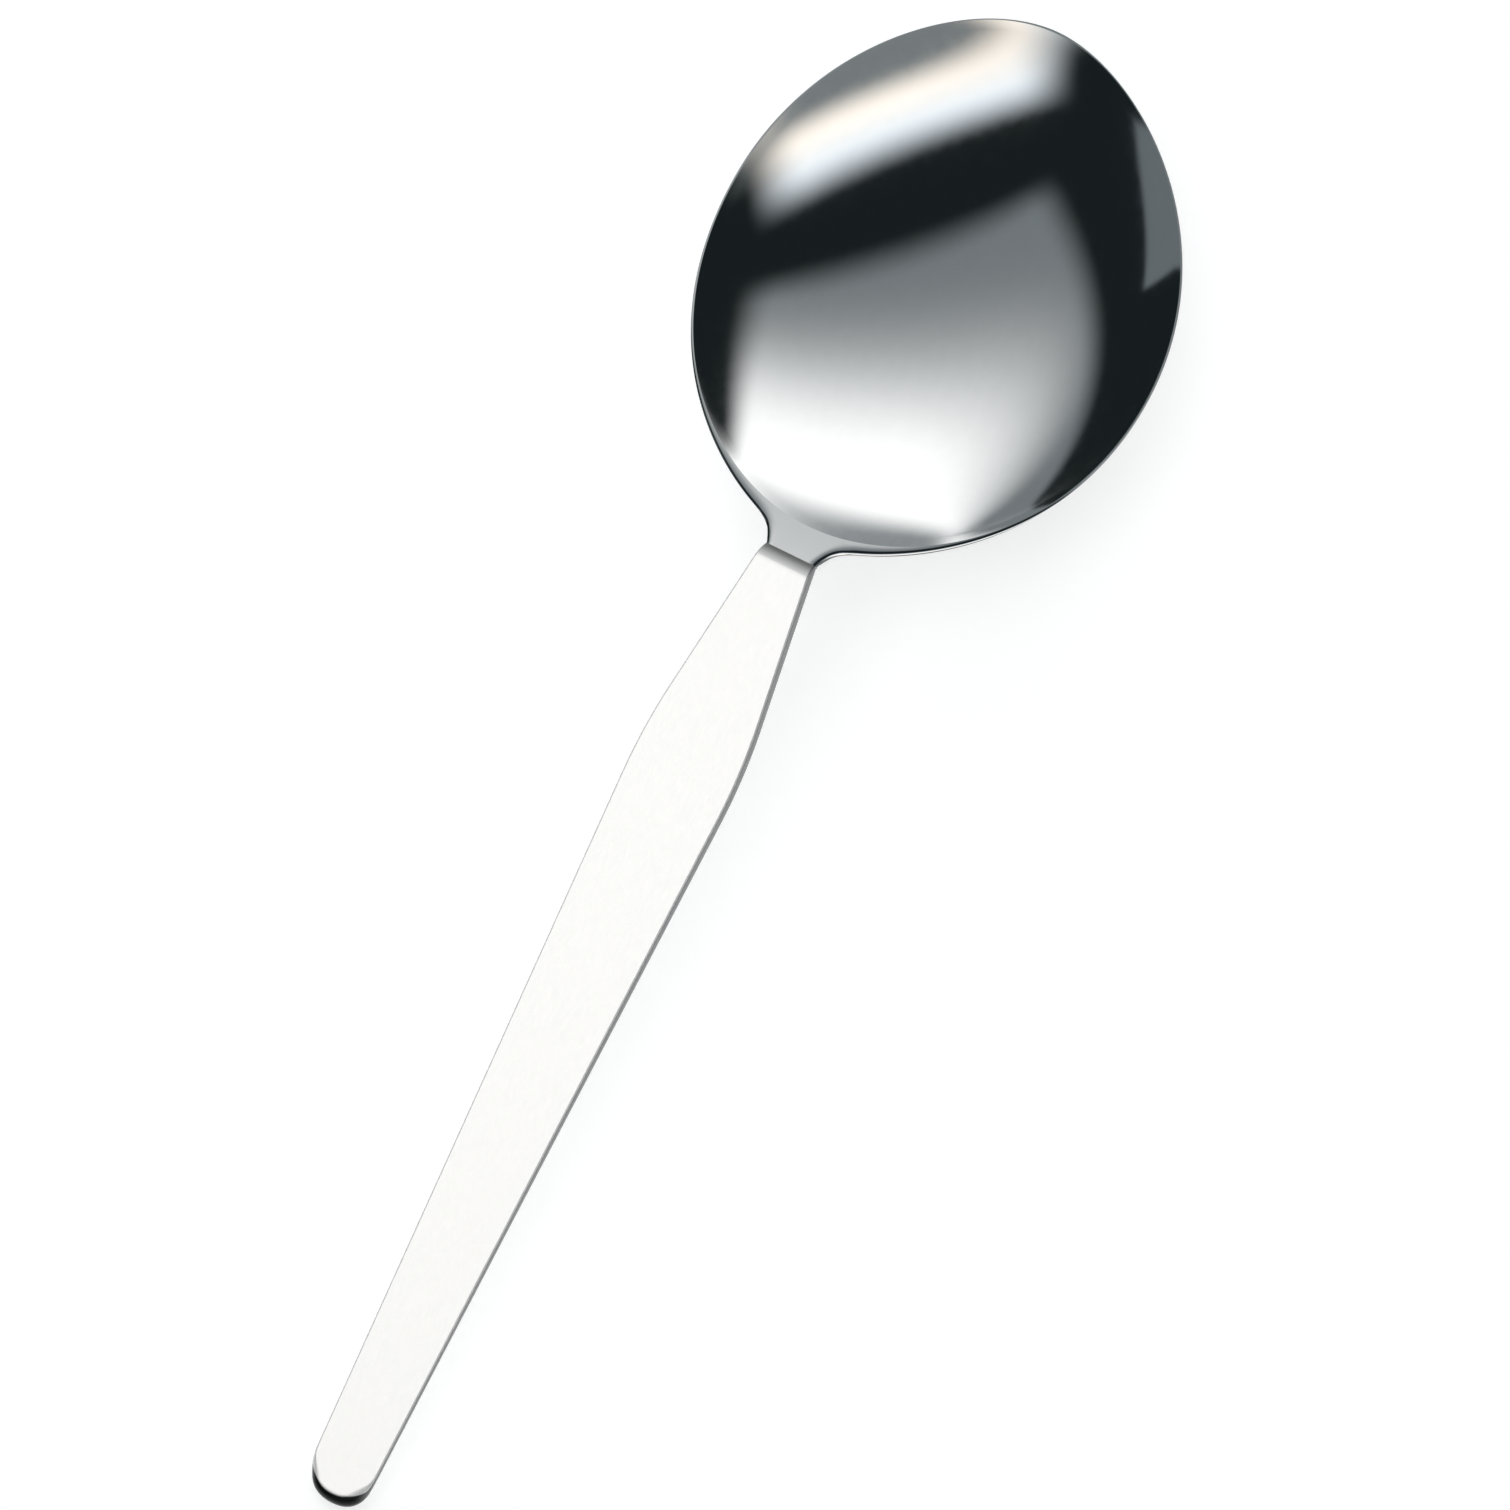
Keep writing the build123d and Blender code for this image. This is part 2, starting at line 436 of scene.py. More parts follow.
finish_modifier(bowl, "SUBSURF", levels=2, render_levels=2, boundary_smooth="PRESERVE_CORNERS")
crease_index = bowl.vertex_groups["crease"].index
ring = [v for v in bowl.data.vertices if any(g.group == crease_index and g.weight > full_weight for g in v.groups)]
for vert in ring:
    outside = hollow_middle.lerp(vert.co, search_from)
    vert.co = crease_point(outside)
print("crease line of", len(ring), "points")
thicken(bowl, sheet_thickness)
press(bowl, rim_sheet, "upper")
press(bowl, punch_sheet, "upper", up=False)
press(bowl, die_sheet, "lower")
print("pressed bowl", [round(d / mm, 2) for d in bowl.dimensions], "mm,", len(bowl.data.vertices), "points")

# %% [markdown]
# ## Bowl: edges and tang
# The line where the hollow meets the rim stays crisp, as the punch leaves it, so it is marked sharp. Polishing rounds
# the outer edges: a lot beside the tongue, where the wheel leans on them, and hardly at all around the rim. Points
# near the edge are lowered to give that round lip, and the edge itself is bevelled. The tang is extruded out of the
# tongue's end, where the handle will hide it.

# %% Rounded lip
lip_width, neck_lip_width = 0.30 * mm, 0.95 * mm
lip_drop, neck_lip_drop = 0.02 * mm, 0.45 * mm
just_off_neck = neck_y + 0.01 * mm
steep = 0.2


def plan_tree(places):
    """Search tree for the nearest of some places, seen from above."""
    tree = KDTree(len(places))
    for number, place in enumerate(places):
        tree.insert((place.x, place.y, 0), number)
    tree.balance()
    return tree


upper_index = bowl.vertex_groups["upper"].index
edit(bowl)
mesh = bmesh.from_edit_mesh(bowl.data)
groups = mesh.verts.layers.deform.active
top_points = [v for v in mesh.verts if upper_index in v[groups]]
lip_points = [
    v for v in top_points
    if any(f.calc_center_median().y > just_off_neck and abs(f.normal.z) < steep for f in v.link_faces)
]
lip = plan_tree([v.co for v in lip_points])
for vert in top_points:
    _, _, distance = lip.find((vert.co.x, vert.co.y, 0))
    share = neck_share(vert.co.y)
    width = lip_width + share * (neck_lip_width - lip_width)
    drop = lip_drop + share * (neck_lip_drop - lip_drop)
    vert.co.z -= drop * max(1 - distance / width, 0) ** 2
bmesh.update_edit_mesh(bowl.data)
done()
print("lip of", len(lip_points), "points")

# %% Polished edges
rim_round = 0.15 * mm
rim_segments = 3
square_angle = math.radians(50)
at_neck = neck_y + 0.02 * mm


def is_square(edge):
    """True for an edge where two faces meet at a steep angle."""
    return len(edge.link_faces) == 2 and edge.calc_face_angle(0) > square_angle


def on_outer_edge(edge):
    """True for a square edge of the sheet, apart from the end that meets the handle."""
    return is_square(edge) and not all(v.co.y < at_neck for v in edge.verts)


def on_crease(edge):
    """True for an edge of the line where the hollow meets the rim."""
    groups = bmesh.from_edit_mesh(bowl.data).verts.layers.deform.active
    return all(v[groups].get(crease_index, 0) > full_weight and upper_index in v[groups] for v in edge.verts)


edit(bowl)
crease_edges = pick(bowl, "EDGE", on_crease)
bpy.ops.mesh.mark_sharp()
outer_edges = pick(bowl, "EDGE", on_outer_edge)
bpy.ops.mesh.bevel(offset=rim_round, segments=rim_segments, affect="EDGES", clamp_overlap=True)
print("sharp line of", crease_edges, "edges, bevelled", outer_edges, "outer edges")

# %% Tang
tang_length = 9.0 * mm
tang_half_width = 1.7 * mm
tang_inset = 0.3 * mm
handle_lean = 0.10509
endward = 0.9
smooth_angle = math.radians(30)


def at_tang(face):
    """True for a face of the tongue's end, as far out as the tang reaches."""
    middle = face.calc_center_median()
    return face.normal.y < -endward and middle.y < at_neck and abs(middle.x) < tang_half_width + tang_inset


end_faces = pick(bowl, "FACE", at_tang)
bpy.ops.mesh.inset(thickness=tang_inset, depth=0)
lean = Vector((0, -1, -handle_lean)).normalized() * tang_length
bpy.ops.mesh.extrude_region_move(TRANSFORM_OT_translate={"value": lean})
done()
for sheet in (punch_sheet, die_sheet, rim_sheet):
    bpy.data.objects.remove(sheet)
take(bowl)
bpy.ops.object.shade_smooth_by_angle(angle=smooth_angle)
print("tang out of", end_faces, "faces; bowl has", len(bowl.data.polygons), "faces")

# %% [markdown]
# ## Handle
# The handle is a flat bar: widest a little behind the neck, tapered to a blunt end, and standing a little above the
# tongue at its front, with a rounded shoulder. Its outline is drawn as a curve, filled, cut across where the shoulder
# starts, and given its thickness. Two sheets with the side view of its top and underside then slope it.

# %% Outline of the handle
neck_half_width = 2.95 * mm
wide_half_width = 6.0 * mm
wide_y = 1.3 * mm
wide_radius = 64.0 * mm
end_y = -85.0 * mm
end_half_width = 3.55 * mm
end_length = 4.8 * mm
end_fullness = 0.68
handle_steps = 20

flank_slope = (wide_half_width - end_half_width) / (wide_y - end_y)
corner = Vector((end_half_width + flank_slope * end_length, end_y + end_length))
end_pull = Vector((end_fullness * corner.x, end_y))
corner_pull = corner - Vector((flank_slope, 1)) * end_fullness * end_length
neck_corner = Vector((neck_half_width, neck_y))
wide_corner = Vector((wide_half_width, wide_y))
to_neck = (neck_corner - wide_corner).normalized()
to_end = (corner - wide_corner).normalized()
turn = math.pi - to_neck.angle(to_end)
run = wide_radius * math.tan(turn / 2)
pull = wide_radius * math.tan(turn / 4) * 4 / 3
wide_front = wide_corner + to_neck * run
wide_back = wide_corner + to_end * run
right_side = [
    (Vector((0, neck_y)), neck_corner, neck_corner - to_neck * run),
    (wide_front + to_neck * run, wide_front, wide_front - to_neck * pull),
    (wide_back - to_end * pull, wide_back, wide_back.lerp(corner, 1 / 3)),
    (wide_back.lerp(corner, 2 / 3), corner, corner_pull),
]
end_point = (end_pull, Vector((0, end_y)), Vector((-end_pull.x, end_y)))
handle = outline_loop("handle_bar", right_side + [end_point] + mirrored(right_side), handle_steps)
print("handle outline of", len(handle.data.vertices), "points")

# %% Side view of the handle
bowl_lift = 0.0402 * mm
end_below_table = 0.055 * mm
topside_slope, underside_slope = 0.11504, handle_lean
end_underside = bowl_lift - end_below_table
end_thickness = 2.0 * mm
shoulder_run = 1.6 * mm
shoulder_steps = (0, 0.12, 0.3, 0.5, 0.7, 0.88, 1)
shoulder_centre = Vector((22.22, 12.147)) * mm
shoulder_radius = 2.2 * mm


def topside(y):
    """Height of the handle's top, with the rounded shoulder in front."""
    flat = end_underside + end_thickness + topside_slope * (y - end_y)
    if y <= neck_y - shoulder_run:
        return flat
    return shoulder_centre.y + math.sqrt(shoulder_radius**2 - (y - shoulder_centre.x) ** 2)


def underside(y):
    """Height of the handle's flat underside."""
    return end_underside + underside_slope * (y - end_y)


shoulder_rows = [neck_y - shoulder_run * (1 - s) for s in shoulder_steps]
past_end = end_y - past
top_profile = [(past_end, topside(past_end))] + [(y, topside(y)) for y in shoulder_rows]
top_profile.append((neck_y + past, topside(neck_y) - past))
under_profile = [(past_end, underside(past_end)), (neck_y + past, underside(neck_y + past))]
top_sheet = flat_sheet("top_sheet", top_profile, sheet_reach)
under_sheet = flat_sheet("under_sheet", under_profile, sheet_reach)

edit(handle)
bpy.ops.mesh.select_all(action="SELECT")
bpy.ops.mesh.edge_face_add()
for y in shoulder_rows[:-1]:
    bpy.ops.mesh.select_all(action="SELECT")
    bpy.ops.mesh.bisect(plane_co=(0, y, 0), plane_no=(0, 1, 0))
done()
face_up(handle)
thicken(handle, end_thickness)
press(handle, top_sheet, "upper")
press(handle, under_sheet, "lower")
for sheet in (top_sheet, under_sheet):
    bpy.data.objects.remove(sheet)
print("handle bar", [round(d / mm, 2) for d in handle.dimensions], "mm")

# %% [markdown]
# ## Handle: edges, end and slot
# A belt leaves the top edges nearly crisp, and the edges below are rounded for the hand. One bevel makes both, with a
# weight on each edge. At the end the top is rounded much more, and the underside less. A bevel whose width changes
# from edge to edge would fold there, so the points of the even bevel are moved away from the square corner they came
# from, or towards it. The slot is inset and extruded into the front face, around the tang. Weighted normals keep the
# flat top flat in the light.

# %% Rounded edges of the handle
round_segments = 6
top_round, under_round = 0.25 * mm, 1.45 * mm
top_end_round, under_end_round = 1.2 * mm, 0.6 * mm
end_from_y, end_full_y = -80.6 * mm, -83.6 * mm
behind_neck = neck_y - 0.02 * mm
upward = 0.5


def long_edge(edge):
    """True for a square edge along the bar's outline, apart from its front end."""
    along_outline = any(abs(f.normal.z) > upward for f in edge.link_faces)
    return is_square(edge) and along_outline and not all(v.co.y > behind_neck for v in edge.verts)


def on_top(edge):
    """True for an edge of the bar's upper face."""
    return any(f.normal.z > upward for f in edge.link_faces)


def end_share(y):
    """0 along the bar, rising smoothly to 1 at its rounded end."""
    share = min(max((end_from_y - y) / (end_from_y - end_full_y), 0), 1)
    return share * share * (3 - 2 * share)


edit(handle)
mesh = bmesh.from_edit_mesh(handle.data)
weight = mesh.edges.layers.float.new("bevel_weight_edge")
rounded = [edge for edge in mesh.edges if long_edge(edge)]
for edge in rounded:
    edge[weight] = top_round / under_round if on_top(edge) else 1
corners = {
    upper: [v.co.copy() for e in rounded if on_top(e) == upper for v in e.verts]
    for upper in (True, False)
}
bmesh.update_edit_mesh(handle.data)
done()
finish_modifier(
    handle, "BEVEL", width=under_round, segments=round_segments, limit_method="WEIGHT", use_clamp_overlap=False
)
print("handle with", len(rounded), "rounded edges")

# %% Fuller rounding of the handle's end
growth = {True: top_end_round / top_round, False: under_end_round / under_round}
nearest = {upper: plan_tree(places) for upper, places in corners.items()}
top_depth = 1.1 * top_round
end_points = [v for v in handle.data.vertices if v.co.y < end_from_y]
for vert in end_points:
    upper = vert.co.z > topside(vert.co.y) - top_depth
    _, number, _ = nearest[upper].find((vert.co.x, vert.co.y, 0))
    corner_place = corners[upper][number]
    vert.co = corner_place.lerp(vert.co, 1 + end_share(corner_place.y) * (growth[upper] - 1))
print("end of", len(end_points), "points")

# %% Slot of the handle
slot_width, slot_height = 3.5 * mm, 0.9 * mm
slot_inset = 0.4 * mm
slot_depth = lean * 1.005
front_from_y = at_neck - 0.1 * mm

edit(handle)
front_faces = pick(handle, "FACE", lambda f: f.normal.y > endward and f.calc_center_median().y > front_from_y)
bpy.ops.mesh.inset(thickness=slot_inset, depth=0)
mesh = bmesh.from_edit_mesh(handle.data)
inner = [v.co.copy() for v in mesh.verts if v.select]
low = Vector(map(min, *inner))
high = Vector(map(max, *inner))
fit = (slot_width / (high.x - low.x), 1, slot_height / (high.z - low.z))
bpy.ops.transform.resize(value=fit, center_override=(low + high) / 2)
bpy.ops.mesh.extrude_region_move(TRANSFORM_OT_translate={"value": slot_depth})
done()
take(handle)
bpy.ops.object.shade_smooth_by_angle(angle=smooth_angle)
finish_modifier(handle, "WEIGHTED_NORMAL", keep_sharp=True)
print("slot in", front_faces, "front faces; handle has", len(handle.data.polygons), "faces")

# %% [markdown]
# ## In the frame
# Nothing moves, so both pieces ride on the one body. Each takes the place of its solid.

# %% Riding and replacing
for piece, node, slot in ((bowl, "bowl", "polished_steel"), (handle, "handle", "satin_steel")):
    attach(piece, "root")
    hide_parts(node)
    print(piece.name, "replaces", node, "with slot", slot)

# %% [markdown]
# ## Finishes
# Both pieces are steel. What differs is the polish: fine lines that a belt leaves along the handle, and a mirror with
# only faint wiping marks in the bowl. The lines are one node group with its own values in each material.

# %% Fine lines
def add_node(tree, kind, **settings):
    """Add a shader node with some of its settings."""
    node = tree.nodes.new(kind)
    for name, value in settings.items():
        setattr(node, name, value)
    return node


def fine_lines_group():
    """Noise that is stretched along Y: across and along set how many lines there are per metre."""
    group = bpy.data.node_groups.new("fine_lines", "ShaderNodeTree")
    for name in ("across", "along"):
        group.interface.new_socket(name, in_out="INPUT", socket_type="NodeSocketFloat")
    group.interface.new_socket("lines", in_out="OUTPUT", socket_type="NodeSocketFloat")
    inside = add_node(group, "NodeGroupInput")
    outside = add_node(group, "NodeGroupOutput")
    place = add_node(group, "ShaderNodeTexCoord")
    stretch = add_node(group, "ShaderNodeCombineXYZ")
    scaled = add_node(group, "ShaderNodeVectorMath", operation="MULTIPLY")
    noise = add_node(group, "ShaderNodeTexNoise")
    noise.inputs["Scale"].default_value = 1
    noise.inputs["Detail"].default_value = 3
    group.links.new(inside.outputs["across"], stretch.inputs["X"])
    group.links.new(inside.outputs["along"], stretch.inputs["Y"])
    group.links.new(inside.outputs["across"], stretch.inputs["Z"])
    group.links.new(place.outputs["Object"], scaled.inputs[0])
    group.links.new(stretch.outputs["Vector"], scaled.inputs[1])
    group.links.new(scaled.outputs["Vector"], noise.inputs["Vector"])
    group.links.new(noise.outputs["Fac"], outside.inputs["lines"])
    return group


fine_lines = fine_lines_group()


def steel(name, across, along, dark, light, rough_low, rough_high, bump):
    """Bare steel whose colour, roughness and surface follow the fine lines. Gives its parts back too."""
    material = bpy.data.materials.new(name)
    material.use_nodes = True
    tree = material.node_tree
    shader = tree.nodes["Principled BSDF"]
    shader.inputs["Metallic"].default_value = 1
    lines = add_node(tree, "ShaderNodeGroup", node_tree=fine_lines)
    lines.inputs["across"].default_value = across
    lines.inputs["along"].default_value = along
    colour = add_node(tree, "ShaderNodeMix", data_type="RGBA")
    colour.inputs[6].default_value = (*dark, 1)
    colour.inputs[7].default_value = (*light, 1)
    rough = add_node(tree, "ShaderNodeMapRange")
    rough.inputs["To Min"].default_value = rough_low
    rough.inputs["To Max"].default_value = rough_high
    relief = add_node(tree, "ShaderNodeBump")
    relief.inputs["Distance"].default_value = bump
    tree.links.new(lines.outputs["lines"], colour.inputs[0])
    tree.links.new(lines.outputs["lines"], rough.inputs["Value"])
    tree.links.new(lines.outputs["lines"], relief.inputs["Height"])
    tree.links.new(colour.outputs[2], shader.inputs["Base Color"])
    tree.links.new(rough.outputs["Result"], shader.inputs["Roughness"])
    tree.links.new(relief.outputs["Normal"], shader.inputs["Normal"])
    return material, colour.outputs[2], lines.outputs["lines"]


polished, _, _ = steel(
    "mirror_steel", across=900, along=500, dark=(0.82, 0.82, 0.82), light=(0.87, 0.87, 0.87),
    rough_low=0.04, rough_high=0.09, bump=1e-8,
)
satin, satin_colour, satin_lines = steel(
    "hairline_steel", across=9000, along=120, dark=(0.88, 0.88, 0.87), light=(0.96, 0.96, 0.95),
    rough_low=0.42, rough_high=0.58, bump=4e-6,
)
print("steels of", [len(m.node_tree.nodes) for m in (polished, satin)], "nodes")

# %% [markdown]
# The handle's shoulder is darkened where it meets the bowl, as painted shade. The rounded end is darkened most of all,
# as a painted dark reflection. One node group makes both: a ramp along the handle that darkens the colour between two
# places.

# %% Painted shade along the handle
def darkened_group():
    """A colour that is darkened from one place along Y to another, as painted shade."""
    group = bpy.data.node_groups.new("painted_shade_along", "ShaderNodeTree")
    group.interface.new_socket("colour", in_out="INPUT", socket_type="NodeSocketColor")
    for name in ("start", "end", "dark"):
        group.interface.new_socket(name, in_out="INPUT", socket_type="NodeSocketFloat")
    group.interface.new_socket("colour", in_out="OUTPUT", socket_type="NodeSocketColor")
    inside = add_node(group, "NodeGroupInput")
    outside = add_node(group, "NodeGroupOutput")
    place = add_node(group, "ShaderNodeTexCoord")
    split = add_node(group, "ShaderNodeSeparateXYZ")
    ramp_along = add_node(group, "ShaderNodeMapRange", interpolation_type="SMOOTHSTEP")
    ramp_along.inputs["To Min"].default_value = 1
    scaled = add_node(group, "ShaderNodeVectorMath", operation="SCALE")
    group.links.new(place.outputs["Object"], split.inputs[0])
    group.links.new(split.outputs["Y"], ramp_along.inputs["Value"])
    for name, socket in (("start", "From Min"), ("end", "From Max"), ("dark", "To Max")):
        group.links.new(inside.outputs[name], ramp_along.inputs[socket])
    group.links.new(inside.outputs["colour"], scaled.inputs[0])
    group.links.new(ramp_along.outputs["Result"], scaled.inputs["Scale"])
    group.links.new(scaled.outputs["Vector"], outside.inputs["colour"])
    return group


painted_shade_along = darkened_group()


def darkened(tree, colour, start, end, dark):
    """A colour of a material, darkened along the handle as painted shade."""
    node = add_node(tree, "ShaderNodeGroup", node_tree=painted_shade_along)
    for name, value in (("start", start), ("end", end), ("dark", dark)):
        node.inputs[name].default_value = value
    tree.links.new(colour, node.inputs["colour"])
    return node.outputs["colour"]


# %% [markdown]
# The handle's edges get another roughness and a dark colour, which is a painted dark reflection. The material finds
# them
# by the direction of the surface: on the sides only what is steep, and at the rounded end nearly all that is rounded.

# %% Painted dark edges of the handle
middle_flatness = 0.19
side_flatness, end_flatness = 0.29, 0.72
flatness_fade = 0.10
edge_mask_from_y, edge_mask_full_y = -81.8 * mm, -83.8 * mm

tree = satin.node_tree
shader = tree.nodes["Principled BSDF"]
place = add_node(tree, "ShaderNodeTexCoord")
way = add_node(tree, "ShaderNodeSeparateXYZ")
spot = add_node(tree, "ShaderNodeSeparateXYZ")
from_middle = add_node(tree, "ShaderNodeMath", operation="SUBTRACT")
from_middle.inputs[1].default_value = middle_flatness
flatness = add_node(tree, "ShaderNodeMath", operation="ABSOLUTE")
limit = add_node(tree, "ShaderNodeMapRange", interpolation_type="SMOOTHSTEP")
limits = {"From Min": edge_mask_from_y, "From Max": edge_mask_full_y, "To Min": side_flatness, "To Max": end_flatness}
for socket, value in limits.items():
    limit.inputs[socket].default_value = value
past_limit = add_node(tree, "ShaderNodeMath", operation="SUBTRACT")
mask = add_node(tree, "ShaderNodeMapRange", interpolation_type="SMOOTHSTEP")
mask.inputs["From Min"].default_value = -flatness_fade
mask.inputs["From Max"].default_value = 0
tree.links.new(place.outputs["Normal"], way.inputs[0])
tree.links.new(place.outputs["Object"], spot.inputs[0])
tree.links.new(way.outputs["Z"], from_middle.inputs[0])
tree.links.new(from_middle.outputs[0], flatness.inputs[0])
tree.links.new(spot.outputs["Y"], limit.inputs["Value"])
tree.links.new(limit.outputs["Result"], past_limit.inputs[0])
tree.links.new(flatness.outputs[0], past_limit.inputs[1])
tree.links.new(past_limit.outputs[0], mask.inputs["Value"])
print("satin of", len(tree.nodes), "nodes with its mask")

# %% Colours of the handle
edge_roughness = 0.30
# Painted dark reflection on the steep sides and the rounded end, varied by the fine lines.
painted_edge_dark, painted_edge_light = (0.11, 0.11, 0.115, 1), (0.17, 0.17, 0.175, 1)
# Painted shade on the shoulder, where the handle meets the bowl.
painted_shoulder_shade = (22.0 * mm, 23.8 * mm, 0.30)
# Painted dark reflection at the handle's rounded end.
painted_end_reflection = (-82.0 * mm, edge_mask_full_y, 0.13)

painted_dark_edges = add_node(tree, "ShaderNodeMix", data_type="RGBA")
painted_dark_edges.inputs[6].default_value = painted_edge_dark
painted_dark_edges.inputs[7].default_value = painted_edge_light
edge_colour_mix = add_node(tree, "ShaderNodeMix", data_type="RGBA")
roughness = add_node(tree, "ShaderNodeMix", data_type="FLOAT")
roughness.inputs[3].default_value = edge_roughness
tree.links.new(satin_lines, painted_dark_edges.inputs[0])
for mixer in (edge_colour_mix, roughness):
    tree.links.new(mask.outputs["Result"], mixer.inputs[0])
tree.links.new(darkened(tree, satin_colour, *painted_shoulder_shade), edge_colour_mix.inputs[6])
tree.links.new(darkened(tree, painted_dark_edges.outputs[2], *painted_end_reflection), edge_colour_mix.inputs[7])
tree.links.new(shader.inputs["Roughness"].links[0].from_socket, roughness.inputs[2])
tree.links.new(edge_colour_mix.outputs[2], shader.inputs["Base Color"])
tree.links.new(roughness.outputs[0], shader.inputs["Roughness"])

# %% Finishes on the pieces
for piece, material in ((bowl, polished), (handle, satin)):
    piece.data.materials.clear()
    piece.data.materials.append(material)
print("finishes:", polished.name, satin.name)

# %% [markdown]
# ## Studio
# A mirror shows the room, so the room is what gives the bowl its look: a long strip light with a warm and a cool side,
# a broad grey panel that glows towards its far end, two grey walls and dark gaps between them. Most are drawn by their
# place on a flat ceiling, worked out from a direction of the world, and the side wall by the direction alone. Each
# ramp below is one soft edge of a shape. The camera itself sees plain white.

# %% Steps of the studio's nodes
world = bpy.data.worlds.new("studio")
bpy.context.scene.world = world
world.use_nodes = True
sky = world.node_tree
sky.nodes.clear()


def linked(node, *values):
    """Set a node's inputs in order, by link or by value, and give back its first output."""
    for socket, value in zip(node.inputs, values):
        if hasattr(value, "links"):
            sky.links.new(value, socket)
        elif value is not None:
            socket.default_value = value
    return node.outputs[0]


def maths(operation, *values):
    """One step of arithmetic on directions."""
    return linked(add_node(sky, "ShaderNodeMath", operation=operation), *values)


def dot(direction, axis):
    """How far a direction points along an axis."""
    node = add_node(sky, "ShaderNodeVectorMath", operation="DOT_PRODUCT")
    sky.links.new(direction, node.inputs[0])
    node.inputs[1].default_value = axis
    return node.outputs["Value"]


def ramp(value, start, end):
    """0 before start, 1 after end, and smooth between them. With start above end it falls instead."""
    node = add_node(sky, "ShaderNodeMapRange", interpolation_type="SMOOTHSTEP")
    low, high, first, last = (start, end, 0, 1) if start < end else (end, start, 1, 0)
    return linked(node, value, low, high, first, last)


def times(*values):
    """Product of several values."""
    product = values[0]
    for value in values[1:]:
        product = maths("MULTIPLY", product, value)
    return product


# %% Places on the ceiling
lowest_ceiling = 0.05
strip_axis, panel_axis = (0.645, -0.764, 0), (0.764, 0.645, 0)

direction = add_node(sky, "ShaderNodeTexCoord").outputs["Generated"]
height = dot(direction, (0, 0, 1))
ahead = dot(direction, (0, 1, 0))
right = dot(direction, (1, 0, 0))
ceiling = maths("MAXIMUM", height, lowest_ceiling)
strip_side = dot(direction, strip_axis)
across = maths("DIVIDE", strip_side, ceiling)
along = maths("DIVIDE", dot(direction, panel_axis), ceiling)
turn_up = times(maths("ARCTAN2", height, strip_side), math.degrees(1))
print("ceiling of", len(sky.nodes), "nodes")

# %% Panel, strip and walls
def mixed(first, share, second):
    """A value plus a share of another."""
    return maths("ADD", first, times(second, share))


panel = times(
    ramp(mixed(across, 0.157, along), 0.33, 0.07),
    ramp(mixed(along, -0.18, across), -1.74, -1.10),
    ramp(mixed(along, 0.60, across), 1.27, 0.85),
)
rear_fade = maths("SUBTRACT", 1, times(ramp(mixed(turn_up, 5.0, along), 174, 185), 0.92))
rise = ramp(turn_up, 66, 160)
glow = times(panel, rise, rise, ramp(along, -1.83, 0.54), rear_fade)
strip_line = mixed(mixed(1.09, -0.267, along), -0.068, times(along, along))
strip_off = maths("SUBTRACT", across, strip_line)
strip = times(
    ramp(maths("ABSOLUTE", strip_off), 0.40, 0.07), ramp(along, 0.96, 0.38), ramp(along, -2.5, -1.5)
)
strip_warm = times(strip, ramp(strip_off, -0.2, 0.2))
strip_cool = times(strip, ramp(strip_off, 0.2, -0.2))
near_wall = ramp(mixed(across, 0.267, along), 0.96, 1.46)
side_wall = times(
    ramp(mixed(height, 0.14, right), 0.155, 0.13),
    ramp(mixed(ahead, -0.38, height), -0.395, -0.425),
    ramp(right, -0.5, -0.6),
)
print("shapes of", len(sky.nodes), "nodes")

# %% Colours of the room
room_colour = (0.010, 0.0145, 0.0155)


def tint(colour, strength):
    """A colour times a value."""
    node = add_node(sky, "ShaderNodeVectorMath", operation="SCALE")
    node.inputs[0].default_value = colour
    sky.links.new(strength, node.inputs["Scale"])
    return node.outputs["Vector"]


def plus(first, second):
    """Sum of two colours."""
    return linked(add_node(sky, "ShaderNodeVectorMath", operation="ADD"), first, second)


parts_of_the_room = (
    ((0.178, 0.197, 0.206), panel),
    ((1.08, 1.07, 1.06), glow),
    ((1.02, 1.11, 1.18), strip_cool),
    ((1.22, 1.11, 0.98), strip_warm),
    ((0.19, 0.21, 0.216), near_wall),
    ((0.132, 0.15, 0.162), side_wall),
)
light = room_colour
for colour, shape in parts_of_the_room:
    light = plus(light, tint(colour, shape))

studio_light = add_node(sky, "ShaderNodeBackground")
white = add_node(sky, "ShaderNodeBackground")
sky.links.new(light, studio_light.inputs["Color"])
white.inputs["Color"].default_value = (1, 1, 1, 1)
seen = add_node(sky, "ShaderNodeLightPath").outputs["Is Camera Ray"]
choice = add_node(sky, "ShaderNodeMixShader")
sky.links.new(seen, choice.inputs[0])
sky.links.new(studio_light.outputs[0], choice.inputs[1])
sky.links.new(white.outputs[0], choice.inputs[2])
sky.links.new(choice.outputs[0], add_node(sky, "ShaderNodeOutputWorld").inputs["Surface"])
print("studio of", len(sky.nodes), "nodes")

# %% [markdown]
# A satin surface needs a light where its mirror image would be, and the bowl's bright shapes are too far to the side.
# A soft box hangs over the handle for that. In the studio, flags keep it off the bowl; here it is linked to the handle.

# %% Soft box over the handle
handle_middle = Vector((0, -30, 9)) * mm
box_way = Vector((-0.273, -0.147, 0.951))
box_distance = 0.7
box_size = (0.7, 0.9)
box_energy = 2.55
box_colour = (1.0, 0.972, 0.952)


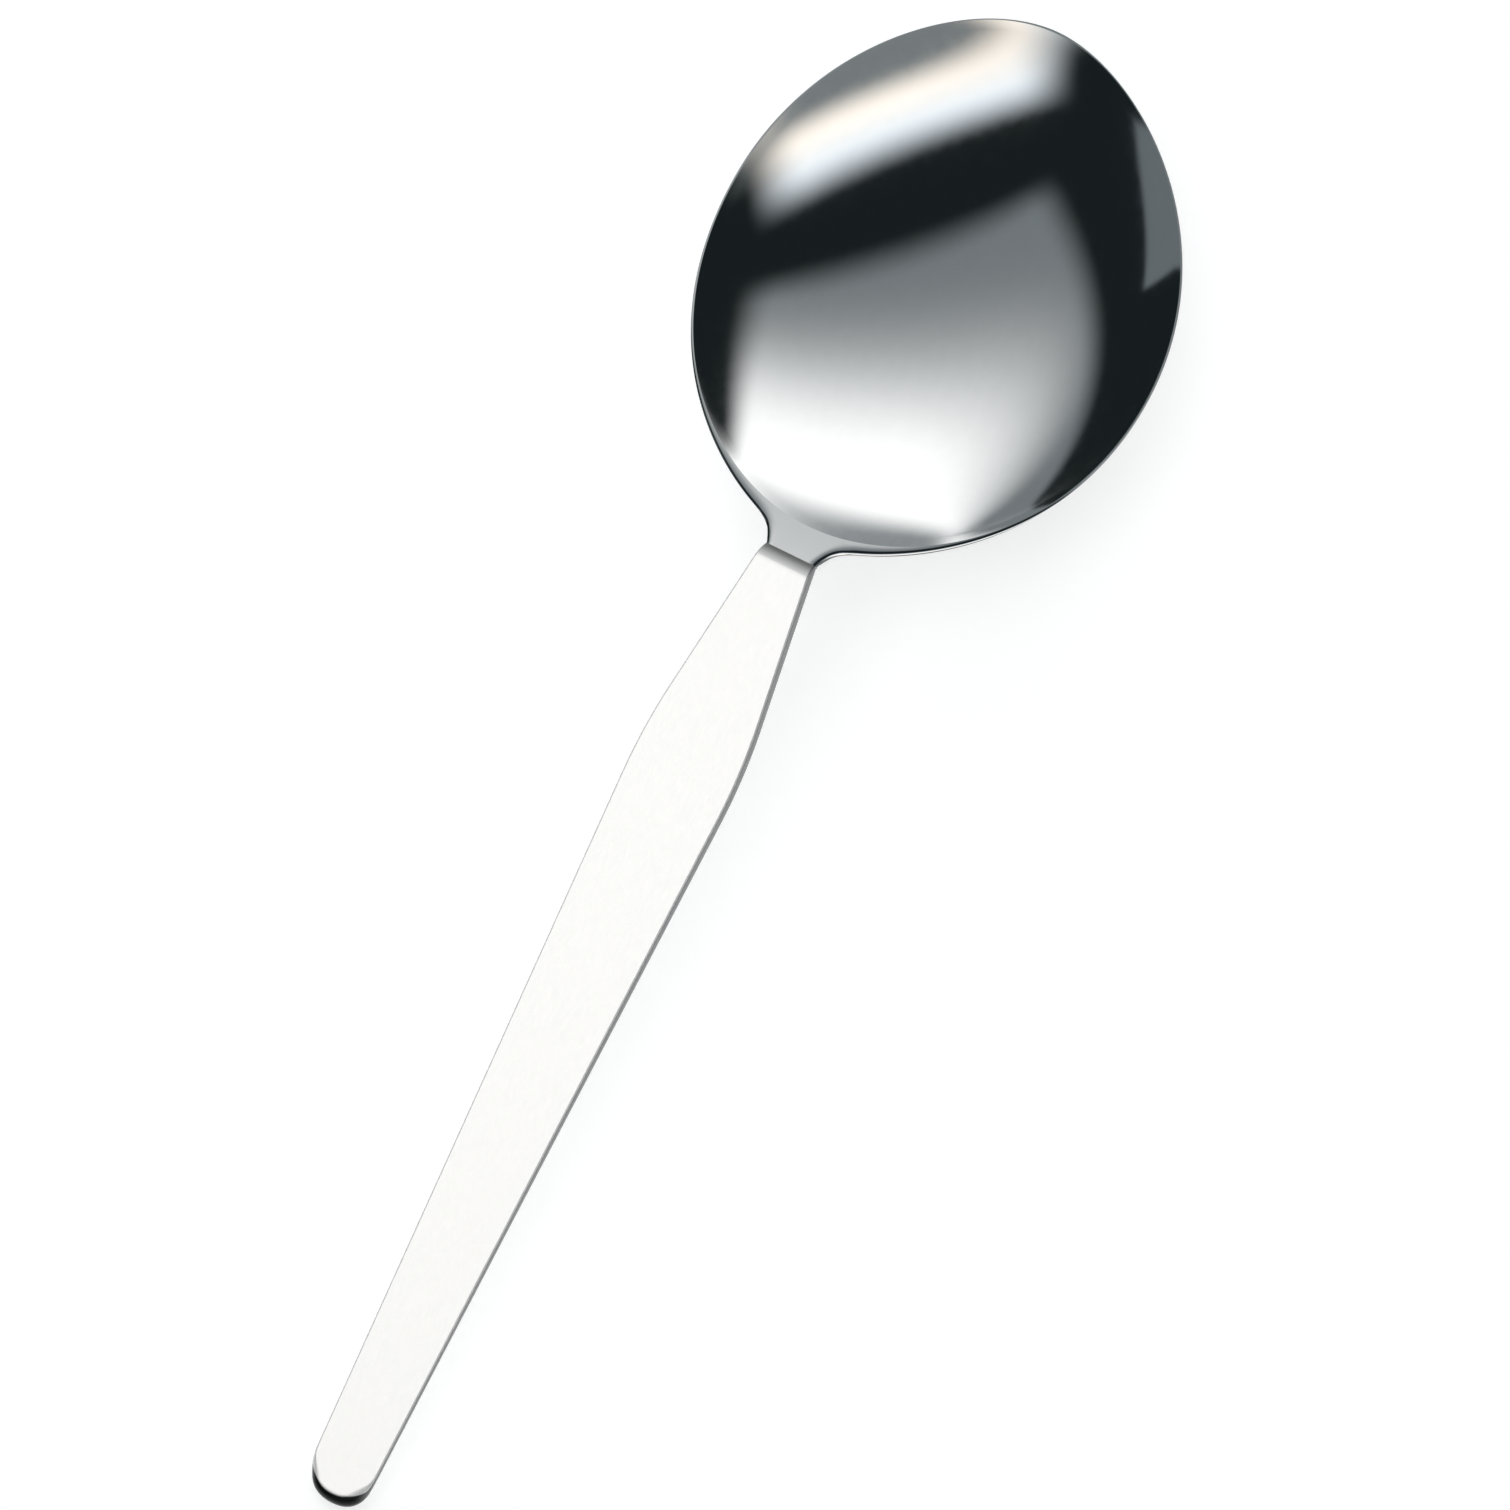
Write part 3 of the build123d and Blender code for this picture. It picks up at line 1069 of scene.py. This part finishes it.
def soft_light(name, place, way, size, energy, colour, lit_piece):
    """A rectangular light that faces against a direction and lights one piece."""
    bpy.ops.object.select_all(action="DESELECT")
    bpy.ops.object.light_add(type="AREA", location=place)
    light = bpy.context.object
    light.name = name
    light.rotation_euler = way.to_track_quat("Z", "Y").to_euler()
    light.data.shape = "RECTANGLE"
    light.data.size, light.data.size_y = size
    light.data.energy = energy
    light.data.color = colour
    receivers = bpy.data.collections.new("lit_by_" + name)
    receivers.objects.link(lit_piece)
    light.light_linking.receiver_collection = receivers
    print(name, "at", [round(c, 3) for c in light.location])
    return light


box_place = handle_middle + box_way * box_distance
soft_light("handle_soft_box", box_place, box_way, box_size, box_energy, box_colour, handle)

# %% [markdown]
# ## Floor
# A plain white table. Part of its brightness is its own, so that it reads as white paper in the picture and in the
# metal. The rest is lit by a wide light straight above it, so that the table keeps the spoon's soft shadow.

# %% Floor
floor_size = 6
paper_colour = (0.8, 0.8, 0.8, 1)
own_colour = (0.47, 0.47, 0.47, 1)
floor_light_height = 1.5
floor_light_size = (2, 2)
floor_light_energy = 12.3

bpy.ops.object.select_all(action="DESELECT")
bpy.ops.mesh.primitive_plane_add(size=floor_size)
floor = bpy.context.object
floor.name = "floor"
paper = bpy.data.materials.new("white_paper")
paper.use_nodes = True
tree = paper.node_tree
tree.nodes.clear()
lit = add_node(tree, "ShaderNodeBsdfDiffuse")
lit.inputs["Color"].default_value = paper_colour
own = add_node(tree, "ShaderNodeEmission")
own.inputs["Color"].default_value = own_colour
path = add_node(tree, "ShaderNodeLightPath")
shown = path.outputs["Is Camera Ray"]
for ray in ("Is Glossy Ray", "Is Transmission Ray"):
    either = add_node(tree, "ShaderNodeMath", operation="MAXIMUM")
    tree.links.new(shown, either.inputs[0])
    tree.links.new(path.outputs[ray], either.inputs[1])
    shown = either.outputs[0]
tree.links.new(shown, own.inputs["Strength"])
both = add_node(tree, "ShaderNodeAddShader")
tree.links.new(lit.outputs[0], both.inputs[0])
tree.links.new(own.outputs[0], both.inputs[1])
tree.links.new(both.outputs[0], add_node(tree, "ShaderNodeOutputMaterial").inputs["Surface"])
floor.data.materials.append(paper)
up = Vector((0, 0, 1))
floor_light = soft_light(
    "floor_light", up * floor_light_height, up, floor_light_size, floor_light_energy, (1, 1, 1), floor
)
floor_light.visible_glossy = False

# %% [markdown]
# ## The end
# The plain view transform shows colours as they are.

# %% Colour management and the end
bpy.context.scene.view_settings.view_transform = "Standard"
